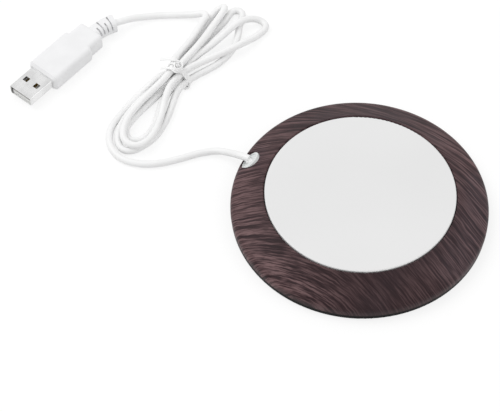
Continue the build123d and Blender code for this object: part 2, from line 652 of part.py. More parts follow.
# ---- free cord ----
def cord_tail():
    start = in_exit_frame(cord_split_radius, 0, EXIT_Z)
    bend = in_exit_frame(cord_split_radius + TAIL_STRAIGHT, 0, EXIT_Z)
    return cord_tube([start, bend] + TAIL_POINTS, CORD_RADIUS, "cord_tail")


def relief_place(along):
    """Frame on the bent strain relief's axis, that far from the shoulder: X outwards along the cord."""
    swing = math.radians(RELIEF_SWING)
    bend_radius = RELIEF_LENGTH / swing
    turn = swing * along / RELIEF_LENGTH
    x = SHOULDER_END + bend_radius * math.sin(turn)
    y = -RELIEF_SHIFT - bend_radius * (1 - math.cos(turn))
    return plug_frame * Location((x, y, 0), (0, 0, -math.degrees(turn)))


def cord_lead():
    tip = relief_place(RELIEF_LENGTH)
    last_bend = tip * Location((LEAD_LAST_RUN, 0, 0))
    end = tip * Location((-RELIEF_BORE_DEPTH, 0, 0))
    return cord_tube(LEAD_POINTS + [tuple(last_bend.position), tuple(end.position)], CORD_RADIUS, "cord_lead")


def lobe(circles):
    """Rounded slab around circles of the given middles and radii."""
    edges = []
    for middle, radius in circles:
        edges += (Pos(middle[0], middle[1]) * Circle(radius)).edges()
    slab = extrude(make_hull(edges), HANK_HEIGHT)
    return fillet(slab.faces().sort_by(Axis.Z)[-1].edges(), HANK_ROUNDING)


def waist_section(growth):
    """Outline of the bundle where it is tied, in a plane across it."""
    width = 2 * (WAIST_RADIUS + growth)
    height = WAIST_HEIGHT - TIE_THICKNESS + 2 * growth
    return RectangleRounded(width, height, WAIST_ROUNDING + growth)


def across_waist(sketch, length):
    middle_z = (WAIST_HEIGHT + TIE_THICKNESS) / 2
    place = Plane(origin=(WAIST_CENTRE[0], WAIST_CENTRE[1], middle_z),
                  x_dir=(math.sin(math.radians(WAIST_AZIMUTH)), -math.cos(math.radians(WAIST_AZIMUTH)), 0),
                  z_dir=(math.cos(math.radians(WAIST_AZIMUTH)), math.sin(math.radians(WAIST_AZIMUTH)), 0))
    return extrude(place * sketch, length / 2, both=True)


def tie_band():
    return across_waist(waist_section(TIE_THICKNESS) - waist_section(0), TIE_WIDTH)


def end_notch(point, towards):
    """Room in the hank around a cord that ends on a flat face at the point."""
    direction = (Vector(towards) - Vector(point)).normalized()
    place = Plane(origin=point, x_dir=(-direction.Y, direction.X, 0), z_dir=direction)
    return extrude(place * Rectangle(2 * NOTCH_HALF_WIDTH, 4 * HANK_HEIGHT), NOTCH_LENGTH)


def cord_hank():
    """The folded cord as one closed solid: two lobes and the tied waist."""
    hank = lobe(LOWER_LOBE) + lobe(UPPER_LOBE)
    hank += across_waist(waist_section(0), WAIST_LENGTH)
    hank -= end_notch(TAIL_POINTS[-1], TAIL_POINTS[-2])
    hank -= end_notch(LEAD_POINTS[0], LEAD_POINTS[1])
    return hank - tie_band()


def twist_tie():
    """Flat ribbon round the waist, twisted once on top, with two loose tails."""
    top_z = WAIST_HEIGHT + TIE_THICKNESS
    tie = tie_band()
    knot_z = top_z + TIE_KNOT_RADIUS - TIE_THICKNESS
    knot_frame = Location((WAIST_CENTRE[0], WAIST_CENTRE[1], knot_z), (0, 0, TIE_KNOT_AZIMUTH))
    knot = Pos(TIE_KNOT_LENGTH / 2, 0, 0) * (Rot(0, 90, 0) * Cylinder(TIE_KNOT_RADIUS, TIE_KNOT_LENGTH))
    tie += knot_frame * knot
    for side in (-1, 1):
        strip = Pos(TIE_TAIL_LENGTH / 2, 0, 0) * Box(TIE_TAIL_LENGTH, TIE_TAIL_WIDTH, TIE_THICKNESS)
        root = Location((TIE_KNOT_LENGTH - TIE_KNOT_RADIUS, 0, 0), (0, 0, side * TIE_TAIL_SPREAD))
        tie += knot_frame * root * strip
    return tie


# ---- plug ----
def rounded_bar(width, height, rounding, start, length):
    """Bar along the plug's axis with a rounded section."""
    place = Plane(origin=(start, 0, 0), x_dir=(0, 1, 0), z_dir=(1, 0, 0))
    return extrude(place * RectangleRounded(width, height, rounding), length)


def relief_section(along, inset):
    """The relief's outline across its axis, smaller all round by the inset."""
    share = max(along, 0) / RELIEF_LENGTH
    width = RELIEF_START_WIDTH + share * (RELIEF_END_WIDTH - RELIEF_START_WIDTH) - 2 * inset
    height = RELIEF_START_HEIGHT + share * (RELIEF_END_HEIGHT - RELIEF_START_HEIGHT) - 2 * inset
    across = Location((0, 0, 0), (0, 90, 0)) * Location((0, 0, 0), (0, 0, 90))
    return relief_place(along) * across * RectangleRounded(width, height, RELIEF_ROUNDING - inset)


def relief_body(inset):
    """Tapered strain relief, bent sideways from the shoulder to its tip."""
    stations = (0, RELIEF_LENGTH / 2, RELIEF_LENGTH)
    return loft([relief_section(along, inset) for along in stations])


def relief_slots():
    """Slots by turns over one upper edge and across the top, each with its twin on the far side."""
    slots = Part()
    for index, along in enumerate(RELIEF_SLOTS):
        reach = RELIEF_START_WIDTH
        start = RELIEF_SLOT_INNER_END if index % 2 == 0 else -RELIEF_START_WIDTH / 3
        over = Pos(0, -start - reach / 2, reach / 2) * Box(RELIEF_SLOT_WIDTH, reach, reach)
        under = Rot(180, 0, 0) * over
        slots += relief_place(along) * (over + under)
    return slots - relief_body(RELIEF_SLOT_DEPTH)


def usb_overmould():
    body = rounded_bar(PLUG_WIDTH, PLUG_HEIGHT, PLUG_BODY_ROUNDING, 0, PLUG_BODY_LENGTH)
    body = chamfer(body.faces().sort_by(Axis.X)[0].edges(), PLUG_FRONT_CHAMFER)
    body = fillet(body.faces().sort_by(Axis.X)[-1].edges(), PLUG_BODY_CORNER)
    buried = PLUG_BODY_CORNER * 2
    shoulder = rounded_bar(SHOULDER_WIDTH, PLUG_HEIGHT, PLUG_BODY_ROUNDING, PLUG_BODY_LENGTH - buried,
                           SHOULDER_END - PLUG_BODY_LENGTH + buried)
    shoulder = fillet(shoulder.faces().sort_by(Axis.X)[-1].edges(), PLUG_BODY_CORNER)
    body += Pos(0, -SHOULDER_SHIFT, 0) * shoulder
    body -= rounded_bar(SHELL_WIDTH, SHELL_HEIGHT, SHELL_ROUNDING, -1, SHELL_BURIED + 1)
    body = plug_frame * body + (relief_body(0) - relief_slots())
    along_bore = relief_place(RELIEF_LENGTH) * Location((0, 0, 0), (0, 90, 0))
    return body - along_bore * upright(CORD_RADIUS + CORD_BORE_GAP, -RELIEF_BORE_DEPTH, 1)


def usb_shell():
    """Folded sheet shell, open at the mouth, with two latch windows above and two below."""
    length = SHELL_EXPOSED + SHELL_BURIED
    shell = rounded_bar(SHELL_WIDTH, SHELL_HEIGHT, SHELL_ROUNDING, -SHELL_EXPOSED, length)
    shell -= rounded_bar(SHELL_WIDTH - 2 * SHELL_WALL, SHELL_HEIGHT - 2 * SHELL_WALL, SHELL_ROUNDING - SHELL_WALL,
                         -SHELL_EXPOSED - 1, length + 2)
    for side in (-1, 1):
        window = Pos(WINDOW_SETBACK - SHELL_EXPOSED, side * WINDOW_OFFSET, 0)
        shell -= window * Box(WINDOW_SIZE, WINDOW_SIZE, SHELL_HEIGHT + 1)
    return plug_frame * shell


def usb_tongue():
    """Insulator: a block behind, and the tongue on the shell's lower wall."""
    inner_height = SHELL_HEIGHT - 2 * SHELL_WALL
    width = SHELL_WIDTH - 2 * SHELL_WALL - 2 * TONGUE_SIDE_GAP
    low = -inner_height / 2
    start = TONGUE_SETBACK - SHELL_EXPOSED
    length = SHELL_BURIED - start
    tongue = Pos(start + length / 2, 0, 0) * block(length, width - 2 * SHELL_ROUNDING, low, low + TONGUE_THICKNESS)
    back = Pos(SHELL_BURIED / 2, 0, 0) * block(SHELL_BURIED, width - 2 * SHELL_ROUNDING, low, -low)
    return plug_frame * (tongue + back)


def usb_contacts():
    top = TONGUE_THICKNESS - (SHELL_HEIGHT / 2 - SHELL_WALL)
    strip = Pos(CONTACT_SETBACK - SHELL_EXPOSED + CONTACT_LENGTH / 2, 0, 0) * block(
        CONTACT_LENGTH, CONTACT_WIDTH, top, top + CONTACT_THICKNESS)
    return [plug_frame * (Pos(0, offset, 0) * strip) for offset in CONTACT_OFFSETS]


def nodes():
    """Every node with its solid or group of solids."""
    parts = {
        "bezel_ring": bezel_ring(),
        "heating_plate": heating_plate(),
        "plate_gasket": plate_gasket(),
        "heater_film": heater_film(),
        "heater_track": heater_track(),
        "insulation_pad": insulation_pad(),
        "pressure_plate": pressure_plate(),
        "pressure_plate_screws": pressure_plate_screws(),
        "heater_terminals": heater_terminals(),
        "thermal_cutout": thermal_cutout(),
        "cutout_clip": cutout_clip(),
        "base_cover": base_cover(),
        "base_screws": base_screws(),
        "cord_grommet": cord_grommet(),
        "cord_clamp": cord_clamp(),
        "cord_clamp_screws": cord_clamp_screws(),
        "cord_inner": cord_inner(),
        "lead_wire_red": lead_wire_red(),
        "lead_wire_black": lead_wire_black(),
        "cord_tail": cord_tail(),
        "cord_hank": cord_hank(),
        "cord_lead": cord_lead(),
        "twist_tie": twist_tie(),
        "usb_overmould": usb_overmould(),
        "usb_shell": usb_shell(),
        "usb_tongue": usb_tongue(),
        "usb_contacts": usb_contacts(),
    }
    for number, foot in enumerate(rubber_feet(), start=1):
        parts[f"rubber_foot_{number}"] = foot
    return parts


os.makedirs("parts", exist_ok=True)
for name, shape in nodes().items():
    group = Compound(children=shape) if isinstance(shape, list) else shape
    export_step(group, f"parts/{name}.step")
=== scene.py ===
"""Dressed scene of a cup warmer: wood-grained ring, white plate, and a white cord tied in a hank.

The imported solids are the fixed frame. This file gives every one of them a finish, lays the free cord
as one smooth line, wraps the hank's tie, and sets the floor, the light and the camera.
"""

import logging
import math
from dataclasses import dataclass
from enum import Enum
from typing import Any, ClassVar, Optional, Union

import bpy
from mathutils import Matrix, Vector


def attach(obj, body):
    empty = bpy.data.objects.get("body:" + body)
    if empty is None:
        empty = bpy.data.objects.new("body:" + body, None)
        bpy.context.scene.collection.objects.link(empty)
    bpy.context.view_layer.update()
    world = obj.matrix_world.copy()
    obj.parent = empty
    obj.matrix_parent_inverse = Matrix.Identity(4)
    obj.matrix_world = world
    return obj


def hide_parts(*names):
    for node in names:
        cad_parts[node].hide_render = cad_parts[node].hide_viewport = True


log = logging.getLogger("cup_warmer")
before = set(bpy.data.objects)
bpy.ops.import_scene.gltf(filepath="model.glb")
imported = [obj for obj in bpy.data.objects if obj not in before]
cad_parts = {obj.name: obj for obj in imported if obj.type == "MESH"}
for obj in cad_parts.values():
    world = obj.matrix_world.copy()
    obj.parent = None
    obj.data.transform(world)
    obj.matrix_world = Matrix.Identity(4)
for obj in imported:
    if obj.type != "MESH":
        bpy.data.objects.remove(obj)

MM = 0.001
MICRON = 0.000001
BODY = "root"

# Degrees about Z that the plug is turned on the table, which the lines on its metal follow.
PLUG_TURN = 50.2
# Limits that a smooth noise between 0 and 1 seldom passes.
NOISE_SPAN = (0.3, 0.7)

Point = tuple[float, float, float]
Swatch = tuple[int, int, int]
Colour = tuple[float, float, float, float]


class Sheen(Enum):
    """How a surface shines, as the shader's roughness."""

    MATT = 0.62
    SATIN = 0.46
    GLOSSY = 0.26


def linear(swatch: Swatch) -> Colour:
    """Colour of a swatch in the shader's linear values, by the usual curve of a screen.

    Args:
        swatch: Red, green and blue as they look on screen, 0 to 255.

    Returns:
        The four numbers that a colour socket takes.
    """
    red, green, blue = (
        (c / 255 / 12.92) if c <= 10 else ((c / 255 + 0.055) / 1.055) ** 2.4 for c in swatch
    )
    return (red, green, blue, 1.0)


def toned(colour: Colour, factor: float) -> Colour:
    """A darker or lighter tone of a colour.

    Args:
        colour: The colour in linear values.
        factor: Below 1 for a darker tone, and above 1 for a lighter one.

    Returns:
        The tone, never past white.
    """
    red, green, blue = (min(1.0, value * factor) for value in colour[:3])
    return (red, green, blue, 1.0)


def neutral(level: float) -> Colour:
    """A colour without a hue, from 0 for black to 1 for white."""
    return (level, level, level, 1.0)


def link(name: str, data: bpy.types.ID) -> bpy.types.Object:
    """Puts a new object into the scene at the origin.

    Args:
        name: The object's name.
        data: Its mesh, curve, lamp or camera.

    Returns:
        The new object.
    """
    made = bpy.data.objects.new(name, data)
    bpy.context.scene.collection.objects.link(made)
    return made


# ---- node trees ----
class Value:
    """A shader socket that takes part in arithmetic."""

    def __init__(self, shader: "Shader", socket: bpy.types.NodeSocket) -> None:
        """Wraps one output socket.

        Args:
            shader: The shader whose tree the socket is in.
            socket: The output to wrap.
        """
        self.shader = shader
        self.socket = socket

    def _math(self, operation: str, left: "Number", right: "Number" = 0.0) -> "Value":
        """Adds one Math node and returns its result."""
        node = self.shader.add("ShaderNodeMath", {"operation": operation}, {0: left, 1: right})
        return Value(self.shader, node.outputs[0])

    def __add__(self, other: "Number") -> "Value":
        """This value plus another."""
        return self._math("ADD", self, other)

    def __radd__(self, other: "Number") -> "Value":
        """Another value plus this one."""
        return self._math("ADD", other, self)

    def __sub__(self, other: "Number") -> "Value":
        """This value less another."""
        return self._math("SUBTRACT", self, other)

    def __rsub__(self, other: "Number") -> "Value":
        """Another value less this one."""
        return self._math("SUBTRACT", other, self)

    def __mul__(self, other: "Number") -> "Value":
        """This value times another."""
        return self._math("MULTIPLY", self, other)

    def __rmul__(self, other: "Number") -> "Value":
        """Another value times this one."""
        return self._math("MULTIPLY", other, self)

    def above(self, limit: "Number") -> "Value":
        """1 where this value is above a limit, and 0 elsewhere."""
        return self._math("GREATER_THAN", self, limit)

    def distance(self, other: "Value") -> "Value":
        """Distance from the middle, with this value and another as the two sides."""
        return self._math("SQRT", self * self + other * other)

    def angle_to(self, other: "Value") -> "Value":
        """Angle whose sine is to its cosine as this value is to the other."""
        return self._math("ARCTAN2", self, other)

    def band(self, low: float, high: float) -> "Value":
        """0 below one limit and 1 above the other, with a smooth step between."""
        node = self.shader.add(
            "ShaderNodeMapRange",
            {"interpolation_type": "SMOOTHSTEP"},
            {"Value": self, "From Min": low, "From Max": high},
        )
        return Value(self.shader, node.outputs["Result"])

    def spread(self) -> "Value":
        """This noise, drawn out to the whole of 0 to 1."""
        return self.band(*NOISE_SPAN)

    def swing(self, size: float) -> "Value":
        """This noise as a swing to both sides of 0, of the given size from end to end."""
        return (self - 0.5) * size


Number = Union[float, Value]


@dataclass(frozen=True)
class Noise:
    """One smooth noise between 0 and 1.

    Attributes:
        cells: Cells to the metre, or to 1 of whatever vector it is read at.
        detail: Number of finer layers.
        rough: How strong each finer layer is.
    """

    cells: float = 1.0
    detail: float = 2.0
    rough: float = 0.5


class Graph:
    """A node tree and the nodes that are added to it."""

    def __init__(self, tree: bpy.types.NodeTree) -> None:
        """Starts on an empty tree.

        Args:
            tree: The tree that the nodes go into.
        """
        self.tree = tree
        tree.nodes.clear()

    def add(
        self,
        kind: str,
        settings: Optional[dict[str, Any]] = None,
        inputs: Optional[dict[Any, Any]] = None,
    ) -> bpy.types.Node:
        """Adds a node, sets it up, then fills or links its sockets.

        Args:
            kind: The node's type.
            settings: Its own settings, such as a Math node's operation, or stops for a ramp.
            inputs: A value, a wrapped socket or a plain socket for each input, by name or number.

        Returns:
            The new node.
        """
        node = self.tree.nodes.new(kind)
        for name, value in (settings or {}).items():
            if name == "stops":
                self._set_stops(node.color_ramp, value)
            else:
                setattr(node, name, value)
        for key, value in (inputs or {}).items():
            if isinstance(value, Value):
                self.tree.links.new(value.socket, node.inputs[key])
            elif isinstance(value, bpy.types.NodeSocket):
                self.tree.links.new(value, node.inputs[key])
            else:
                node.inputs[key].default_value = value
        return node

    @staticmethod
    def _set_stops(ramp: bpy.types.ColorRamp, stops: list[tuple[float, Colour]]) -> None:
        """Gives a ramp its stops.

        Args:
            ramp: The ramp.
            stops: Place and colour of each stop, from the lowest up.
        """
        while len(ramp.elements) < len(stops):
            ramp.elements.new(0.5)  # its real place is set below
        for element, (place, colour) in zip(ramp.elements, stops):
            element.position = place
            element.color = colour


class Shader(Graph):
    """The node tree of one material, or of the world."""

    def __init__(self, owner: Union[bpy.types.Material, bpy.types.World]) -> None:
        """Empties the owner's tree.

        Args:
            owner: A new material or world.
        """
        self.owner = owner
        owner.use_nodes = True
        super().__init__(owner.node_tree)

    @classmethod
    def named(cls, name: str) -> "Shader":
        """The shader of a new material.

        Args:
            name: The material's name.

        Returns:
            The shader, still empty.
        """
        return cls(bpy.data.materials.new(name))

    def place(self, middle: Point = (0.0, 0.0, 0.0), turn: float = 0.0) -> bpy.types.NodeSocket:
        """Object coordinates from a middle, turned about Z.

        Args:
            middle: Where the pattern's own origin lies on the piece, in metres.
            turn: Degrees that the pattern is turned.

        Returns:
            The vector output.
        """
        source = self.add("ShaderNodeTexCoord").outputs["Object"]
        shifted = self.add(
            "ShaderNodeMapping",
            {"vector_type": "TEXTURE"},
            {"Vector": source, "Location": middle, "Rotation": (0, 0, math.radians(turn))},
        )
        return shifted.outputs["Vector"]

    def split(self, vector: bpy.types.NodeSocket) -> tuple[Value, Value, Value]:
        """The three numbers of a vector."""
        node = self.add("ShaderNodeSeparateXYZ", None, {"Vector": vector})
        return tuple(Value(self, output) for output in node.outputs)

    def join(self, x: Number, y: Number, z: Number) -> bpy.types.NodeSocket:
        """A vector from three numbers."""
        return self.add("ShaderNodeCombineXYZ", None, {0: x, 1: y, 2: z}).outputs[0]

    def noise(self, vector: bpy.types.NodeSocket, noise: Noise) -> Value:
        """Reads a noise.

        Args:
            vector: Where it is read.
            noise: The noise.

        Returns:
            Its value between 0 and 1.
        """
        node = self.add(
            "ShaderNodeTexNoise",
            {"normalize": True},
            {"Vector": vector, "Scale": noise.cells, "Detail": noise.detail, "Roughness": noise.rough},
        )
        return Value(self, node.outputs[0])

    def mix(self, factor: Number, low: Any, high: Any) -> bpy.types.NodeSocket:
        """One colour turning into another.

        Args:
            factor: 0 for the first colour, 1 for the second.
            low: The first colour, or a socket.
            high: The second colour, or a socket.

        Returns:
            The colour output.
        """
        node = self.add(
            "ShaderNodeMix",
            {"data_type": "RGBA", "blend_type": "MIX", "clamp_result": True},
            {0: factor, 6: low, 7: high},
        )
        return node.outputs[2]

    def bump(self, height: Value, depth: float) -> bpy.types.NodeSocket:
        """Relief of a surface.

        Args:
            height: Height between 0 and 1.
            depth: What a height of 1 stands for, in micrometres.

        Returns:
            The normal output.
        """
        sockets = {"Height": height, "Distance": depth * MICRON, "Strength": 1.0}
        return self.add("ShaderNodeBump", None, sockets).outputs["Normal"]

    def surface(self, **sockets: Any) -> bpy.types.Material:
        """Ends the material in one Principled surface.

        Args:
            **sockets: The surface's inputs, with _ for the space in their names.

        Returns:
            The finished material.
        """
        inputs = {name.replace("_", " "): value for name, value in sockets.items()}
        node = self.add("ShaderNodeBsdfPrincipled", None, inputs)
        self.add("ShaderNodeOutputMaterial", None, {"Surface": node.outputs[0]})
        return self.owner


class Growth(Graph):
    """A Geometry Nodes tree that grows a piece from a guide mesh, with named sizes as its inputs."""

    def __init__(self, name: str, sizes: tuple[str, ...]) -> None:
        """Makes the tree's inputs and its output.

        Args:
            name: The tree's name.
            sizes: Names of the sizes that it takes, in metres.
        """
        super().__init__(bpy.data.node_groups.new(name, "GeometryNodeTree"))
        face = self.tree.interface
        face.new_socket("Guide", in_out="INPUT", socket_type="NodeSocketGeometry")
        for size in sizes:
            face.new_socket(size, in_out="INPUT", socket_type="NodeSocketFloat")
        face.new_socket("Grown", in_out="OUTPUT", socket_type="NodeSocketGeometry")
        self.entry = self.add("NodeGroupInput").outputs

    def end(self, grown: list[bpy.types.NodeSocket], material: bpy.types.Material) -> None:
        """Joins what has grown, makes it real and gives it its material.

        Args:
            grown: The parts that have grown.
            material: The material of the piece.
        """
        joined = self.add("GeometryNodeJoinGeometry")
        for part in grown:
            self.tree.links.new(part, joined.inputs[0])
        real = self.add("GeometryNodeRealizeInstances", None, {0: joined.outputs[0]})
        dressed = self.add(
            "GeometryNodeSetMaterial", None, {"Geometry": real.outputs[0], "Material": material}
        )
        self.add("NodeGroupOutput", None, {0: dressed.outputs[0]})

    def grow(self, name: str, guide: bpy.types.Mesh, sizes: dict[str, float]) -> bpy.types.Object:
        """Runs the tree on a guide and keeps the result as a plain mesh.

        Args:
            name: The piece's name.
            guide: The mesh that it grows from.
            sizes: Each size in millimetres, by its name.

        Returns:
            The finished piece, with no modifier on it.
        """
        piece = link(name, guide)
        modifier = piece.modifiers.new(name, "NODES")
        modifier.node_group = self.tree
        for socket in self.tree.interface.items_tree:
            if socket.in_out == "INPUT" and socket.name in sizes:
                modifier[socket.identifier] = sizes[socket.name] * MM
        bpy.context.view_layer.update()
        graph = bpy.context.evaluated_depsgraph_get()
        grown = bpy.data.meshes.new_from_object(piece.evaluated_get(graph))
        piece.modifiers.clear()
        piece.data = grown
        return piece


# ---- finishes ----
@dataclass(frozen=True)
class Finish:
    """What every finish has: the name of its material."""

    name: str

    def material(self) -> bpy.types.Material:
        """The finish as a material, made once."""
        found = bpy.data.materials.get(self.name)
        return found if found else self.build(Shader.named(self.name))

    def build(self, shader: Shader) -> bpy.types.Material:
        """Fills the shader; each kind of finish has its own.

        Args:
            shader: The empty shader.

        Returns:
            The finished material.
        """
        raise NotImplementedError


@dataclass(frozen=True)
class MouldedPlastic(Finish):
    """Moulded plastic or rubber with the fine texture of its tool.

    Attributes:
        colour: Screen colour.
        sheen: How the surface shines.
        grain: Cells of the texture to the metre.
        depth: Depth of the texture in micrometres.
        mottle: Share by which the colour drifts.
        gloss: Strength of its reflection, 0.5 for plain plastic.
        drift: The noise by which the colour drifts.
        grit: How strong the finer layers of the texture are.
        rough_drift: Swing of the roughness with the drift.
        rough_grain: Swing of the roughness with the texture.
    """

    colour: Swatch
    sheen: Sheen = Sheen.SATIN
    grain: float = 2600.0
    depth: float = 20.0
    mottle: float = 0.03
    gloss: float = 0.5
    drift: Noise = Noise(95.0, detail=3.0, rough=0.55)
    grit: float = 0.6
    rough_drift: float = 0.16
    rough_grain: float = 0.08

    def build(self, shader: Shader) -> bpy.types.Material:
        """Colour that drifts a little, and a fine even texture."""
        place = shader.place()
        drift = shader.noise(place, self.drift)
        texture = shader.noise(place, Noise(self.grain, rough=self.grit))
        base = linear(self.colour)
        shade, lift = toned(base, 1 - self.mottle), toned(base, 1 + self.mottle / 2)
        rough = self.sheen.value + drift.swing(self.rough_drift) + texture.swing(self.rough_grain)
        return shader.surface(
            Base_Color=shader.mix(drift.spread(), shade, lift),
            Roughness=rough,
            Specular_IOR_Level=self.gloss,
            Normal=shader.bump(texture, self.depth),
        )


@dataclass(frozen=True)
class Streaks:
    """A noise drawn out along the arches of the grain.

    Attributes:
        across: Cells to the metre across the arches.
        along: Cells to the metre along them.
        level: Third coordinate of the noise, which sets one layer of streaks apart from another.
        noise: Detail of the streaks.
    """

    across: float
    along: float
    level: float
    noise: Noise = Noise()

    def read(self, shader: Shader, reach: Value, along: Value) -> Value:
        """Reads the streaks.

        Args:
            shader: The shader that they are read in.
            reach: Distance from the middle of the arches, in metres.
            along: Distance round that middle, in metres.

        Returns:
            Their value between 0 and 1.
        """
        where = shader.join(reach * self.across, along * self.along, self.level)
        return shader.noise(where, self.noise)


@dataclass(frozen=True)
class Fade:
    """A smooth step between two limits, and how strongly it is laid on.

    Attributes:
        low: Where the step starts.
        high: Where it ends.
        strength: How strongly it is laid on, 0 to 1.
    """

    low: float
    high: float
    strength: float

    def above(self, value: Value) -> Value:
        """The strength above the step, and 0 below it."""
        return value.band(self.low, self.high) * self.strength

    def below(self, value: Value) -> Value:
        """The strength below the step, and 0 above it."""
        return (1 - value.band(self.low, self.high)) * self.strength


@dataclass(frozen=True)
class WoodGrain(Finish):
    """Dark walnut print on the ring: fine arched streaks over broad light patches, and broad painted shade.

    Attributes:
        dark: Screen colour of the darkest streaks.
        middle: Screen colour of the wood between.
        light: Screen colour of the light streaks.
        grey: Screen colour of the greyish patches.
        stops: Tones of the streaks at which those first three colours stand.
        arch: Middle of the arches in metres.
        arch_radius: Radius at which the length along an arch is measured, in metres.
        slant: How far an arch moves towards its middle for each metre of height.
        warp: The slow noise that bends the arches.
        warp_size: How far it bends them, in metres.
        ripple: The quick noise that shakes them.
        ripple_size: How far it shakes them, in metres.
        fine: The fine streaks.
        wide: The wide streaks.
        pores: The short dark pores.
        fine_share: Share of the fine streaks in the tone.
        wide_share: Share of the wide streaks in the tone.
        patch: The noise of the greyish patches.
        patches: Where the patches show.
        opening: Distance from the ring's middle, below which painted shade darkens the wood round the
            opening.
        back: Distance behind the ring's middle, above which painted shade darkens the back of the ring.
        painted_front_shade: Middle of the painted shade at the front of the ring, in metres.
        front_shade_fade: Distance from that middle, below which painted shade darkens the wood.
        front_shade_warp: How far the slow noise moves the edge of the painted front shade, in metres.
        pore_shade: Tone of the pores, below which the wood is darker.
        pore_relief: Tone of the pores, above which the wood stands up, and its share of the relief.
        fine_relief: Share of the fine streaks in the relief.
        depth: Depth of the relief in micrometres.
        rough: Mean roughness.
        rough_fine: Swing of the roughness with the fine streaks.
        gloss: Strength of its reflection, 0.5 for plain plastic.
    """

    dark: Swatch = (42, 27, 30)
    middle: Swatch = (75, 55, 57)
    light: Swatch = (117, 92, 93)
    grey: Swatch = (72, 65, 71)
    stops: tuple[float, float, float] = (0.41, 0.48, 0.575)
    arch: tuple[float, float] = (-0.045, -0.085)
    arch_radius: float = 0.1
    slant: float = 0.3
    warp: Noise = Noise(14.0, detail=1.0)
    warp_size: float = 0.010
    ripple: Noise = Noise(140.0, rough=0.6)
    ripple_size: float = 0.0012
    fine: Streaks = Streaks(1500.0, 54.0, 0.0, Noise(rough=0.55))
    wide: Streaks = Streaks(520.0, 24.0, 4.0)
    pores: Streaks = Streaks(2100.0, 160.0, 9.0, Noise(detail=1.0))
    fine_share: float = 0.64
    wide_share: float = 0.36
    patch: Noise = Noise(34.0)
    patches: Fade = Fade(0.48, 0.7, 0.34)
    # Painted shade: round the opening, at the back, and at the front of the ring.
    opening: Fade = Fade(0.038, 0.048, 0.38)
    back: Fade = Fade(0.02, 0.048, 0.26)
    painted_front_shade: tuple[float, float] = (0.01, -0.05)
    front_shade_fade: Fade = Fade(0.012, 0.044, 0.66)
    front_shade_warp: float = 0.02
    pore_shade: Fade = Fade(0.36, 0.5, 0.5)
    pore_relief: Fade = Fade(0.3, 0.5, 0.4)
    fine_relief: float = 0.6
    depth: float = 40.0
    rough: float = 0.52
    rough_fine: float = 0.25
    gloss: float = 0.16

    def streaks(
        self, shader: Shader, flat: bpy.types.NodeSocket, warp: Value
    ) -> tuple[Value, Value, Value]:
        """The streaks that follow the arches.

        Args:
            shader: The shader of the print.
            flat: Object coordinates.
            warp: The slow noise.

        Returns:
            The fine streaks, the wide ones and the pores.
        """
        x, y, z = shader.split(shader.place((*self.arch, 0.0)))
        ripple = shader.noise(flat, self.ripple)
        reach = (
            x.distance(y) + warp.swing(self.warp_size) + ripple.swing(self.ripple_size) + z * self.slant
        )
        along = y.angle_to(x) * self.arch_radius
        layers = (self.fine, self.wide, self.pores)
        return tuple(layer.read(shader, reach, along) for layer in layers)

    def painted_shade_and_pores(
        self, shader: Shader, flat: bpy.types.NodeSocket, warp: Value, pores: Value
    ) -> list[Value]:
        """Where the wood is darker: painted shade at the opening, back and front, then the pores.

        Args:
            shader: The shader of the print.
            flat: Object coordinates.
            warp: The slow noise.
            pores: The pores.

        Returns:
            How strong each shade is, in the order in which they are laid on.
        """
        x, y, _ = shader.split(flat)
        shade_x, shade_y, _ = shader.split(shader.place((*self.painted_front_shade, 0.0)))
        # Painted shade round the opening and at the back of the ring.
        painted_rim_shade = self.opening.below(x.distance(y)) + self.back.above(y)
        # Painted shade at the front of the ring.
        painted_front_shade = self.front_shade_fade.below(shade_x.distance(shade_y) + warp.swing(self.front_shade_warp))
        return [painted_rim_shade, painted_front_shade, self.pore_shade.below(pores)]

    def build(self, shader: Shader) -> bpy.types.Material:
        """Streaks over patches, with painted shade and then the pores darkened in turn, and the pores sunk
        a little.
        """
        flat = shader.place()
        warp = shader.noise(flat, self.warp)
        fine, wide, pores = self.streaks(shader, flat, warp)
        stops = list(zip(self.stops, map(linear, (self.dark, self.middle, self.light))))
        tone = fine * self.fine_share + wide * self.wide_share
        colour = shader.add("ShaderNodeValToRGB", {"stops": stops}, {"Fac": tone}).outputs[0]
        patch = shader.noise(flat, self.patch)
        colour = shader.mix(self.patches.above(patch), colour, linear(self.grey))
        # Painted shade round the opening, at the back and at the front, then the dark of the pores.
        for shade in self.painted_shade_and_pores(shader, flat, warp, pores):
            colour = shader.mix(shade, colour, linear(self.dark))
        return shader.surface(
            Base_Color=colour,
            Roughness=self.rough + fine.swing(self.rough_fine),
            Normal=shader.bump(fine * self.fine_relief + self.pore_relief.above(pores), self.depth),
            Specular_IOR_Level=self.gloss,
        )


@dataclass(frozen=True)
class CoatedPlate(Finish):
    """Heat-proof coating on metal: satin, with a very fine orange-peel.

    Attributes:
        colour: Screen colour.
        low: Darker end of the colour's drift, as a share of the colour.
        drift: The noise by which the colour drifts.
        peel: The orange-peel.
        depth: Depth of the peel in micrometres.
        rough: Mean roughness.
        rough_peel: Swing of the roughness with the peel.
    """

    colour: Swatch
    low: float = 0.965
    drift: Noise = Noise(14.0)
    peel: Noise = Noise(900.0)
    depth: float = 12.0
    rough: float = 0.4
    rough_peel: float = 0.12

    def build(self, shader: Shader) -> bpy.types.Material:
        """An even coat with slow drift and a shallow peel."""
        place = shader.place()
        drift = shader.noise(place, self.drift)
        peel = shader.noise(place, self.peel)
        base = linear(self.colour)
        return shader.surface(
            Base_Color=shader.mix(drift.spread(), toned(base, self.low), base),
            Roughness=self.rough + peel.swing(self.rough_peel),
            Normal=shader.bump(peel, self.depth),
        )


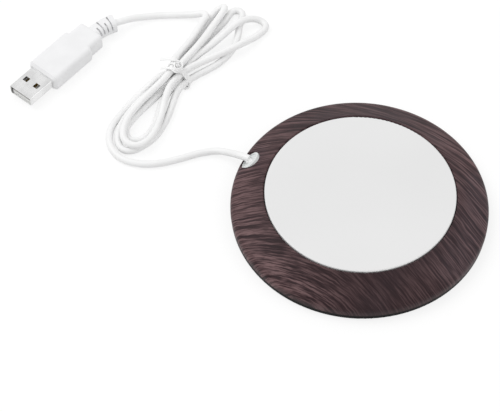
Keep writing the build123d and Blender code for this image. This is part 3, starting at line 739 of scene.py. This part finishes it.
@dataclass(frozen=True)
class PlatedMetal(Finish):
    """Plated or drawn metal with fine lines.

    Attributes:
        colour: Screen colour.
        lines: Lines to the metre.
        sheen: How the surface shines.
        turn: Direction of the lines, degrees about Z.
        along: Cells to the metre along the lines.
        low: Duller end of the colour's drift, as a share of the colour.
        cloud: The noise by which the colour drifts.
        depth: Depth of the lines in micrometres.
        rough_lines: Swing of the roughness with the lines.
        rough_cloud: Swing of the roughness with the drift.
    """

    colour: Swatch
    lines: float
    sheen: Sheen = Sheen.SATIN
    turn: float = 0.0
    along: float = 40.0
    low: float = 0.88
    cloud: Noise = Noise(160.0)
    depth: float = 6.0
    rough_lines: float = 0.12
    rough_cloud: float = 0.08

    def build(self, shader: Shader) -> bpy.types.Material:
        """Metal whose gloss is broken by fine drawn lines."""
        x, y, z = shader.split(shader.place(turn=self.turn))
        drawn = shader.noise(shader.join(x * self.along, y * self.lines, z * self.lines), Noise())
        cloud = shader.noise(shader.place(), self.cloud)
        base = linear(self.colour)
        return shader.surface(
            Base_Color=shader.mix(cloud.spread(), toned(base, self.low), base),
            Metallic=1.0,
            Roughness=self.sheen.value + drawn.swing(self.rough_lines) + cloud.swing(self.rough_cloud),
            Normal=shader.bump(drawn, self.depth),
        )


@dataclass(frozen=True)
class FeltPad(Finish):
    """Pressed fibre.

    Attributes:
        colour: Screen colour.
        low: Darker end of the fibres, as a share of the colour.
        fibre: The crossed fibres.
        span: Values of the fibres between which the colour changes.
        tuft: The soft tufts.
        fibre_share: Share of the fibres in the relief.
        tuft_share: Share of the tufts in the relief.
        depth: Depth of the relief in micrometres.
        rough: Mean roughness.
        rough_tuft: Swing of the roughness with the tufts.
    """

    colour: Swatch
    low: float = 0.72
    fibre: Noise = Noise(1500.0, detail=4.0, rough=0.7)
    span: tuple[float, float] = (0.3, 0.65)
    tuft: Noise = Noise(210.0)
    fibre_share: float = 0.7
    tuft_share: float = 0.3
    depth: float = 120.0
    rough: float = 0.9
    rough_tuft: float = 0.1

    def build(self, shader: Shader) -> bpy.types.Material:
        """Short crossed fibres."""
        place = shader.place()
        fibre = shader.noise(place, self.fibre)
        tuft = shader.noise(place, self.tuft)
        base = linear(self.colour)
        return shader.surface(
            Base_Color=shader.mix(fibre.band(*self.span), toned(base, self.low), base),
            Roughness=self.rough + tuft.swing(self.rough_tuft),
            Normal=shader.bump(fibre * self.fibre_share + tuft * self.tuft_share, self.depth),
        )


WOOD = WoodGrain("walnut_print")
PLATE = CoatedPlate("white_plate_coat", (233, 233, 233))
FELT = FeltPad("pressed_felt", (228, 225, 214))

CORD_JACKET = MouldedPlastic("cord_jacket", (247, 247, 247), grain=2200.0, depth=15.0)
PLUG_MOULDING = MouldedPlastic("plug_moulding", (241, 241, 242))
GROMMET = MouldedPlastic("grommet_moulding", (226, 229, 228), mottle=0.04)
HOUSING = MouldedPlastic(
    "black_housing_moulding", (16, 14, 15), grain=1900.0, depth=30.0, mottle=0.25, gloss=0.08
)
RUBBER = MouldedPlastic(
    "black_rubber_moulding", (40, 40, 41), Sheen.MATT, grain=1500.0, depth=40.0, mottle=0.2
)
GASKET = MouldedPlastic("gasket_rubber", (30, 29, 30), Sheen.MATT, grain=1700.0, depth=30.0, mottle=0.2)
FILM = MouldedPlastic("amber_film", (196, 128, 46), Sheen.GLOSSY, grain=900.0, depth=8.0, mottle=0.12)
CUTOUT = MouldedPlastic("cutout_case", (58, 58, 61), Sheen.GLOSSY, grain=1800.0, mottle=0.15)
RED_SHEATH = MouldedPlastic("red_wire_sheath", (190, 32, 34), grain=2200.0, depth=15.0, mottle=0.08)
BLACK_SHEATH = MouldedPlastic("black_wire_sheath", (34, 34, 35), grain=2200.0, depth=15.0, mottle=0.15)
INSULATOR = MouldedPlastic("white_insulator", (232, 232, 230), grain=2400.0, depth=10.0, mottle=0.04)
TIE = MouldedPlastic("tie_ribbon_film", (252, 252, 252), grain=1400.0)

STEEL = PlatedMetal("zinc_plated_steel", (196, 198, 201), lines=4200.0)
FOIL = PlatedMetal("etched_foil", (202, 180, 146), lines=5200.0)
SHELL = PlatedMetal("nickel_shell", (238, 238, 238), lines=6500.0, sheen=Sheen.GLOSSY, turn=PLUG_TURN)
GOLD = PlatedMetal("gold_flash", (228, 192, 106), lines=5200.0, sheen=Sheen.GLOSSY, turn=PLUG_TURN)


def dress(node: str, finish: Finish) -> None:
    """Gives a carried-over solid its finish.

    Args:
        node: The solid's node name.
        finish: The finish it gets.
    """
    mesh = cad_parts[node].data
    mesh.materials.clear()
    mesh.materials.append(finish.material())
    log.info("%s dressed in %s", node, finish.name)


# ---- sub-assemblies ----
@dataclass
class Housing:
    """The round body: wood-grained ring, black base, screws and feet.

    Attributes:
        feet: Number of rubber feet.
    """

    feet: int = 4

    def build(self) -> None:
        """Dresses the body's solids."""
        dress("bezel_ring", WOOD)
        dress("base_cover", HOUSING)
        dress("base_screws", STEEL)
        for number in range(1, self.feet + 1):
            dress(f"rubber_foot_{number}", RUBBER)


@dataclass
class HeaterStack:
    """The plate and everything clamped under it."""

    def build(self) -> None:
        """Dresses the heater's solids from the top down."""
        dress("heating_plate", PLATE)
        dress("plate_gasket", GASKET)
        dress("heater_film", FILM)
        dress("heater_track", FOIL)
        dress("insulation_pad", FELT)
        for node in ("pressure_plate", "pressure_plate_screws", "heater_terminals", "cutout_clip"):
            dress(node, STEEL)
        dress("thermal_cutout", CUTOUT)


@dataclass
class CordEntry:
    """Grommet, clamp and the cord's last stretch with its two wires."""

    def build(self) -> None:
        """Dresses the entry's solids."""
        dress("cord_grommet", GROMMET)
        dress("cord_clamp", HOUSING)
        dress("cord_clamp_screws", STEEL)
        dress("cord_inner", CORD_JACKET)
        dress("lead_wire_red", RED_SHEATH)
        dress("lead_wire_black", BLACK_SHEATH)


@dataclass
class Plug:
    """Moulded plug with its metal shell, tongue and contacts."""

    def build(self) -> None:
        """Dresses the plug's solids."""
        dress("usb_overmould", PLUG_MOULDING)
        dress("usb_shell", SHELL)
        dress("usb_tongue", INSULATOR)
        dress("usb_contacts", GOLD)


@dataclass
class TieRibbon:
    """Flat ribbon with a wire in it, laid once round the hank's waist and twisted shut.

    Attributes:
        width: Width of the ribbon in millimetres.
        thickness: Its thickness in millimetres.
        wire: Diameter of the wire's rib in millimetres.
        spacing: Distance between its sections in millimetres.
        rib_sides: Sides of the rib's section.
    """

    width: float = 2.2
    thickness: float = 0.3
    wire: float = 0.75
    spacing: float = 0.3
    rib_sides: int = 10

    # Each row is a point of the ribbon's middle in millimetres, and the way that its outer face looks.
    ROUND_THE_WAIST: ClassVar[tuple[tuple[Point, Point], ...]] = (
        ((-81.6, 68.7, 8.4), (0, 0.47, 0.88)),
        ((-78.8, 68.1, 9.3), (0, 0.47, 0.88)),
        ((-76.9, 67.6, 9.5), (0, 0.35, 0.94)),
        ((-75.7, 66.9, 8.9), (0.16, -0.12, 0.98)),
        ((-74.0, 68.0, 7.6), (0.37, -0.26, 0.9)),
        ((-72.3, 67.7, 6.8), (0.49, -0.35, 0.8)),
        ((-71.7, 67.5, 5.4), (0.57, -0.41, 0.7)),
        ((-70.9, 67.4, 3.9), (0.49, -0.35, 0.8)),
        ((-70.0, 67.0, 3.0), (0.69, -0.5, 0.5)),
        ((-69.6, 66.2, 1.9), (0.81, -0.58, 0.0)),
        ((-70.0, 65.2, 0.9), (0.65, -0.47, -0.6)),
        ((-71.2, 64.5, 0.5), (0.24, -0.18, -0.95)),
        ((-73.8, 66.9, 0.4), (0, 0, -1)),
        ((-76.9, 70.6, 0.4), (0, 0, -1)),
        ((-78.7, 72.5, 0.6), (-0.49, 0.35, -0.8)),
        ((-79.5, 73.1, 2.0), (-0.81, 0.58, 0)),
        ((-79.2, 72.8, 4.0), (-0.81, 0.58, 0.1)),
        ((-78.0, 71.9, 7.4), (-0.77, 0.55, 0.3)),
        ((-77.1, 71.3, 9.3), (-0.49, 0.35, 0.8)),
        ((-75.8, 70.3, 9.7), (0, 0, 1)),
        ((-74.3, 68.8, 9.2), (0.24, -0.18, 0.95)),
        ((-73.2, 67.5, 8.0), (0.41, -0.29, 0.85)),
    )
    ROLLED_END: ClassVar[tuple[tuple[Point, Point], ...]] = (
        ((-82.2, 73.5, 8.9), (0, 0.1, 1)),
        ((-79.4, 73.2, 9.6), (0, 0.1, 1)),
        ((-77.6, 72.4, 10.1), (-0.1, 0.4, 0.9)),
        ((-76.2, 71.3, 10.2), (0, 0.8, 0.5)),
        ((-74.5, 70.8, 10.1), (0.2, 0.97, 0.1)),
        ((-73.1, 69.7, 10.0), (0.86, 0.5, 0)),
        ((-72.7, 68.1, 9.9), (0.97, -0.25, 0)),
        ((-73.8, 66.5, 9.9), (0.4, -0.9, 0)),
        ((-75.3, 66.6, 10.0), (-0.4, -0.9, 0)),
        ((-76.0, 67.6, 10.3), (-0.95, -0.3, 0)),
        ((-75.8, 68.8, 10.5), (-0.9, 0.4, 0)),
        ((-75.0, 69.3, 10.6), (0, 1, 0)),
        ((-74.3, 68.6, 10.7), (1, 0, 0)),
        ((-74.8, 67.9, 10.7), (-0.1, -1, 0)),
        ((-75.3, 68.4, 10.7), (-1, 0, 0)),
    )

    def guide(self) -> bpy.types.Mesh:
        """The ribbon's middle as two chains of edges, with the facing kept on their points.

        Returns:
            The chains.
        """
        mesh = bpy.data.meshes.new("tie_guide")
        rows = self.ROUND_THE_WAIST + self.ROLLED_END
        gap = len(self.ROUND_THE_WAIST) - 1
        spots = [tuple(value * MM for value in spot) for spot, _ in rows]
        mesh.from_pydata(spots, [(i, i + 1) for i in range(len(spots) - 1) if i != gap], [])
        facing = mesh.attributes.new("facing", "FLOAT_VECTOR", "POINT")
        for item, (_, way) in zip(facing.data, rows):
            item.vector = Vector(way).normalized()
        return mesh

    def growth(self) -> Growth:
        """The tree that turns each chain into a smooth ribbon with a rib.

        Returns:
            The tree.
        """
        growth = Growth("ribbon_with_rib", ("Width", "Thickness", "Wire", "Spacing"))
        chain = growth.add("GeometryNodeMeshToCurve", None, {0: growth.entry["Guide"]})
        smooth = growth.add(
            "GeometryNodeCurveSplineType", {"spline_type": "CATMULL_ROM"}, {0: chain.outputs[0]}
        )
        even = growth.add(
            "GeometryNodeResampleCurve",
            {"mode": "LENGTH"},
            {"Curve": smooth.outputs[0], "Length": growth.entry["Spacing"]},
        )
        facing = growth.add(
            "GeometryNodeInputNamedAttribute", {"data_type": "FLOAT_VECTOR"}, {"Name": "facing"}
        )
        turned = growth.add(
            "GeometryNodeSetCurveNormal",
            {"mode": "FREE"},
            {"Curve": even.outputs[0], "Normal": facing.outputs["Attribute"]},
        )
        tape = growth.add(
            "GeometryNodeCurvePrimitiveQuadrilateral",
            None,
            {"Width": growth.entry["Thickness"], "Height": growth.entry["Width"]},
        )
        half = growth.add("ShaderNodeMath", {"operation": "MULTIPLY"}, {0: growth.entry["Wire"], 1: 0.5})
        rib = growth.add(
            "GeometryNodeCurvePrimitiveCircle",
            None,
            {"Resolution": self.rib_sides, "Radius": half.outputs[0]},
        )
        parts = []
        for profile, rounded in ((tape, False), (rib, True)):
            swept = growth.add(
                "GeometryNodeCurveToMesh",
                None,
                {"Curve": turned.outputs[0], "Profile Curve": profile.outputs["Curve"], "Fill Caps": True},
            )
            shaded = growth.add(
                "GeometryNodeSetShadeSmooth", None, {"Geometry": swept.outputs[0], "Shade Smooth": rounded}
            )
            parts.append(shaded.outputs[0])
        growth.end(parts, TIE.material())
        return growth

    def build(self) -> bpy.types.Object:
        """Lays the ribbon in the place of the plain tie.

        Returns:
            The ribbon.
        """
        sizes = {
            "Width": self.width,
            "Thickness": self.thickness,
            "Wire": self.wire,
            "Spacing": self.spacing,
        }
        ribbon = self.growth().grow("tie_ribbon", self.guide(), sizes)
        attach(ribbon, BODY)
        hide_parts("twist_tie")
        log.info("tie_ribbon laid with %d faces", len(ribbon.data.polygons))
        return ribbon


@dataclass
class FreeCord:
    """The thin cord from the grommet to the plug, laid as one smooth line.

    Attributes:
        diameter: Outside diameter in millimetres.
        length: Real length in metres; not used.
        sides: Bevel steps of a quarter of its section.
        steps: Steps of the line between two points of the route.
        order: Points that share in each stretch of the line, 3 for even bends.
    """

    diameter: float = 3.0
    length: float = 0.754
    sides: int = 5
    steps: int = 7
    order: int = 3

    # Points of the cord's middle in millimetres, from the grommet on.
    GROMMET_TO_HANK: ClassVar[tuple[Point, ...]] = (
        (-44.6, 20.8, 8.1), (-47.8, 22.4, 8.0), (-52.0, 26.4, 4.6), (-57.6, 29.6, 2.1), (-64.9, 28.8, 1.5),
        (-73.8, 25.4, 1.5), (-82.6, 22.9, 1.5), (-90.9, 23.0, 1.5), (-97.5, 25.6, 1.5),
    )
    HANK: ClassVar[tuple[Point, ...]] = (
        (-101.4, 30.2, 1.5), (-103.0, 36.0, 1.5), (-102.4, 42.0, 1.5), (-99.4, 47.6, 1.5),
        (-95.5, 53.7, 1.6), (-90.2, 60.0, 2.4), (-85.1, 65.4, 3.6), (-80.7, 69.0, 4.3), (-75.9, 70.6, 4.6),
        (-71.6, 75.6, 6.4), (-67.6, 81.0, 6.6), (-63.9, 87.2, 6.2), (-60.9, 93.5, 5.4), (-58.8, 98.0, 4.9),
        (-56.8, 102.0, 4.6), (-54.9, 106.2, 4.5), (-55.8, 108.4, 3.1), (-58.2, 107.8, 1.7),
        (-60.3, 105.0, 1.5), (-62.2, 102.0, 1.5), (-64.0, 98.6, 1.5), (-66.6, 93.8, 1.5),
        (-70.0, 88.0, 1.5), (-73.0, 83.0, 1.5), (-75.8, 77.8, 1.5), (-77.9, 72.0, 1.95), (-81.5, 67.3, 1.5),
        (-84.6, 63.1, 1.5), (-89.2, 57.5, 2.4), (-94.1, 50.6, 2.5), (-98.2, 43.4, 1.9), (-99.6, 36.4, 1.5),
        (-97.6, 30.4, 1.5), (-92.8, 29.6, 1.5), (-88.0, 32.8, 1.5), (-83.7, 36.8, 1.5), (-80.3, 43.1, 1.5),
        (-77.9, 50.1, 1.5), (-76.4, 56.8, 1.5), (-74.8, 62.5, 1.5), (-71.0, 67.0, 1.95), (-66.5, 70.9, 1.5),
        (-60.2, 74.9, 1.5), (-55.0, 79.6, 1.5), (-51.2, 85.6, 1.5), (-49.5, 91.6, 1.5), (-49.0, 96.4, 1.5),
        (-48.2, 100.8, 1.5), (-47.1, 105.2, 1.5), (-48.8, 107.5, 1.5), (-51.6, 107.3, 1.5),
        (-53.3, 104.8, 1.5), (-55.2, 101.0, 1.5), (-58.2, 96.9, 1.5), (-62.0, 92.0, 1.5),
        (-65.8, 86.8, 1.5), (-69.2, 81.2, 1.5), (-72.6, 75.6, 1.6), (-75.6, 70.3, 1.95), (-78.7, 65.4, 1.6),
        (-82.9, 59.9, 1.5), (-87.4, 54.4, 1.5), (-92.7, 47.9, 1.5), (-96.4, 41.4, 1.5), (-94.8, 35.2, 1.5),
        (-89.2, 35.1, 1.5), (-85.3, 39.8, 1.5), (-82.8, 47.0, 1.5), (-81.8, 54.6, 1.5), (-78.5, 61.4, 1.6),
        (-75.8, 65.6, 2.0), (-73.3, 68.6, 2.2), (-71.1, 74.2, 3.5), (-66.6, 79.9, 4.1), (-62.3, 83.7, 4.1),
        (-56.9, 89.6, 4.1), (-52.0, 95.4, 4.3), (-47.6, 99.2, 4.5), (-42.8, 101.4, 3.2),
        (-38.8, 101.4, 1.6), (-36.6, 97.6, 1.5), (-40.6, 93.0, 1.5), (-45.0, 88.9, 2.8), (-49.6, 84.7, 4.4),
        (-55.3, 81.3, 4.2), (-62.1, 77.3, 4.1), (-68.4, 73.0, 4.9), (-72.7, 68.8, 5.4), (-77.3, 64.1, 4.8),
        (-79.0, 59.3, 4.3), (-80.4, 53.0, 4.1), (-81.2, 46.4, 4.1), (-83.2, 39.0, 4.1), (-86.4, 32.8, 4.1),
        (-91.6, 30.0, 4.1), (-96.4, 33.0, 4.1), (-97.2, 39.6, 4.3), (-94.4, 46.6, 4.8), (-90.6, 52.6, 5.0),
        (-86.1, 58.5, 5.0), (-82.2, 62.5, 5.9), (-78.7, 66.4, 7.2), (-76.2, 70.8, 7.9), (-76.6, 75.2, 6.4),
        (-74.6, 79.6, 4.9), (-71.8, 84.2, 4.5), (-69.1, 88.8, 4.5), (-66.8, 93.6, 4.5), (-64.9, 98.2, 4.5),
        (-62.9, 101.6, 4.5), (-64.4, 104.0, 3.8), (-67.2, 104.2, 2.8),
    )
    HANK_TO_PLUG: ClassVar[tuple[Point, ...]] = (
        (-71.2, 104.8, 1.7), (-76.2, 104.9, 1.5), (-81.8, 104.7, 1.5), (-87.0, 104.2, 1.6),
        (-91.6, 103.1, 2.1), (-96.6, 100.8, 3.6), (-103.0, 97.9, 4.0), (-104.5, 97.3, 4.0),
    )

    def build(self) -> bpy.types.Object:
        """Returns:
            The cord's curve.
        """
        points = self.GROMMET_TO_HANK + self.HANK + self.HANK_TO_PLUG
        curve = bpy.data.curves.new("free_cord", "CURVE")
        curve.dimensions = "3D"
        curve.bevel_depth = self.diameter / 2 * MM
        curve.bevel_resolution = self.sides
        curve.resolution_u = curve.render_resolution_u = self.steps
        curve.use_fill_caps = True
        line = curve.splines.new("NURBS")
        line.points.add(len(points) - 1)
        for point, (x, y, z) in zip(line.points, points):
            point.co = (x * MM, y * MM, z * MM, 1.0)
        line.order_u = self.order
        line.use_endpoint_u = True
        curve.materials.append(CORD_JACKET.material())
        cord = link("free_cord", curve)
        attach(cord, BODY)
        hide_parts("cord_tail", "cord_hank", "cord_lead")
        log.info("free_cord laid over %d points", len(points))
        return cord


# ---- studio ----
@dataclass(frozen=True)
class Lamp:
    """A soft square lamp that points at the object.

    Attributes:
        name: The lamp's name.
        power: Its power in watts.
        place: Where it stands in metres.
        size: Side of the square in metres.
        aim: What it points at, in metres.
    """

    name: str
    power: float
    place: Point
    size: float = 0.9
    aim: Point = (-0.03, 0.02, 0.0)

    def build(self) -> bpy.types.Object:
        """Hangs the lamp.

        Returns:
            The lamp.
        """
        data = bpy.data.lights.new(self.name, "AREA")
        data.energy = self.power
        data.size = self.size
        lamp = link(self.name, data)
        lamp.location = self.place
        way = Vector(self.aim) - Vector(self.place)
        lamp.rotation_euler = way.to_track_quat("-Z", "Y").to_euler()
        return lamp


@dataclass(frozen=True)
class Camera:
    """The camera, level and looking down at the table.

    Attributes:
        lens: Focal length in millimetres.
        sensor: Width of the sensor in millimetres.
        nearest: Nearest distance that it sees, in metres.
        farthest: Farthest distance that it sees, in metres.
        place: Where it stands in metres.
        tilt: Degrees off the vertical.
    """

    lens: float = 135.34
    sensor: float = 36.0
    nearest: float = 0.01
    farthest: float = 20.0
    place: Point = (-0.044138, -0.445558, 0.618364)
    tilt: float = 35.941

    def build(self) -> bpy.types.Object:
        """Sets the camera up and makes it the scene's own.

        Returns:
            The camera.
        """
        data = bpy.data.cameras.new("camera")
        data.lens = self.lens
        data.sensor_width = self.sensor
        data.clip_start, data.clip_end = self.nearest, self.farthest
        camera = link("camera", data)
        camera.location = self.place
        camera.rotation_euler = (math.radians(self.tilt), 0.0, 0.0)
        bpy.context.scene.camera = camera
        return camera


@dataclass
class Studio:
    """Floor, light and camera.

    Attributes:
        floor_size: Side of the floor in metres.
        floor_drop: How far the floor lies under the feet, in millimetres.
        floor_share: Share of the floor's look that is lit, so that it keeps the shadow.
        floor_glow: What the lit share and the floor's own glow come to, a little over white.
        paper: Colour of the floor for light that bounces off it.
        sky: Light that comes from all round.
    """

    floor_size: float = 6.0
    floor_drop: float = 0.05
    floor_share: float = 0.24
    floor_glow: float = 1.02
    paper: float = 0.8
    sky: float = 0.88

    # A strong lamp high at the left, and a weak one lower at the right.
    LAMPS: ClassVar[tuple[Lamp, ...]] = (
        Lamp("lamp_high_left", 6.2, (-0.75, 0.35, 1.1)),
        Lamp("lamp_low_right", 1.9, (0.95, -0.3, 0.8)),
    )

    @staticmethod
    def seen(shader: Shader) -> Value:
        """1 for rays of the camera, of a reflection or through glass, and 0 for the rest.

        Args:
            shader: The shader that asks.

        Returns:
            The mask.
        """
        rays = shader.add("ShaderNodeLightPath")
        camera, glossy, glass = (
            Value(shader, rays.outputs[f"Is {kind} Ray"]) for kind in ("Camera", "Glossy", "Transmission")
        )
        return (camera + glossy + glass).above(0.5)

    def floor_material(self) -> bpy.types.Material:
        """Nearly white to the eye, with the shadow on it, and plain paper for the light.

        Returns:
            The floor's material.
        """
        shader = Shader.named("pale_floor")
        seen = self.seen(shader)
        lit = shader.add("ShaderNodeBsdfDiffuse", None, {"Color": neutral(self.floor_share)})
        glow = shader.add(
            "ShaderNodeEmission",
            None,
            {"Color": neutral(1.0), "Strength": self.floor_glow - self.floor_share},
        )
        shown = shader.add("ShaderNodeAddShader", None, {0: lit.outputs[0], 1: glow.outputs[0]})
        paper = shader.add("ShaderNodeBsdfDiffuse", None, {"Color": neutral(self.paper)})
        both = shader.add("ShaderNodeMixShader", None, {0: seen, 1: paper.outputs[0], 2: shown.outputs[0]})
        shader.add("ShaderNodeOutputMaterial", None, {"Surface": both.outputs[0]})
        return shader.owner

    def floor(self) -> bpy.types.Object:
        """A pale floor that shows the object's shadow.

        Returns:
            The floor.
        """
        mesh = bpy.data.meshes.new("floor")
        half, low = self.floor_size / 2, -self.floor_drop * MM
        outline = [(-half, -half, low), (half, -half, low), (half, half, low), (-half, half, low)]
        mesh.from_pydata(outline, [], [(0, 1, 2, 3)])
        mesh.materials.append(self.floor_material())
        floor = link("floor", mesh)
        return floor

    def world(self) -> None:
        """White to the eye and in reflections, and a plain level for the light."""
        world = bpy.data.worlds.new("studio_white")
        bpy.context.scene.world = world
        shader = Shader(world)
        level = self.seen(shader) * (1.0 - self.sky) + self.sky
        background = shader.add("ShaderNodeBackground", None, {"Strength": level})
        shader.add("ShaderNodeOutputWorld", None, {"Surface": background.outputs[0]})

    def build(self) -> None:
        """Sets floor, light and camera."""
        bpy.context.scene.view_settings.view_transform = "Standard"
        self.floor()
        self.world()
        for lamp in self.LAMPS:
            lamp.build()
        Camera().build()
        log.info("studio set")


def main() -> None:
    """Builds every sub-assembly in order."""
    logging.basicConfig(level=logging.INFO, format="%(name)s: %(message)s")
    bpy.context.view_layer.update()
    Studio().build()
    for assembly in (Housing(), HeaterStack(), CordEntry(), Plug(), TieRibbon(), FreeCord()):
        assembly.build()


if __name__ == "__main__":
    main()
